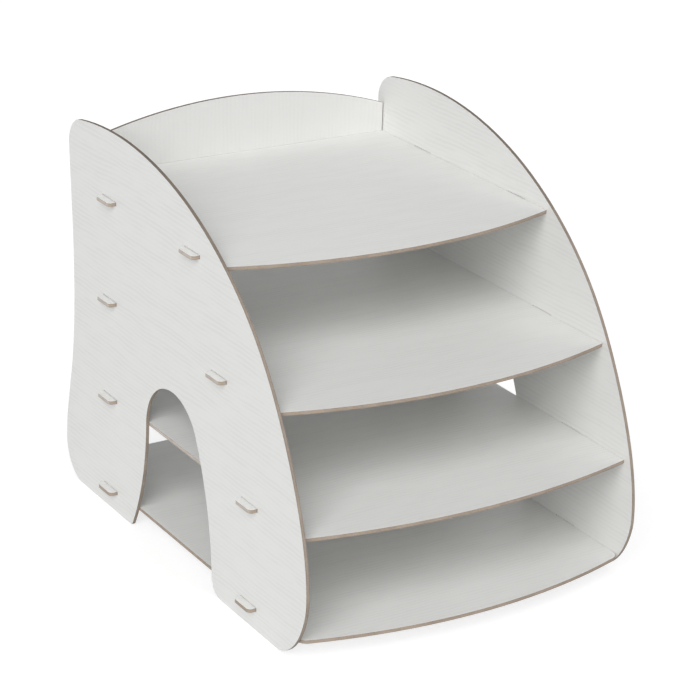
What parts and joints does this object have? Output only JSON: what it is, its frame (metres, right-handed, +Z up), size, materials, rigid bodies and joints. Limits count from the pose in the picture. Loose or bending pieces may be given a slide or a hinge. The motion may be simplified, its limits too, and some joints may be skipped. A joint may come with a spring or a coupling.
{
  "type": "desk organizer with shelves",
  "caption": "Plug-together desk organizer of thin white boards: bowed shelves between sail-shaped side panels with hand arches, and a low back board behind the top tray.",
  "frame": {"origin": "centre of the bounding box's base, on the surface the feet stand on", "axes": "+X to the right seen from the front, -Y to the front (the bowed shelf edges), +Z up"},
  "size_m": [0.2664, 0.3466, 0.277],
  "materials": {
    "white_board": "satin white wood-grain foil, bare brown cut edges"
  },
  "bodies": {
    "root": {"left_side_panel": "white_board", "right_side_panel": "white_board", "bottom_shelf": "white_board", "middle_shelf": "white_board", "upper_shelf": "white_board", "top_shelf": "white_board", "back_board": "white_board"}
  },
  "joints": []
}
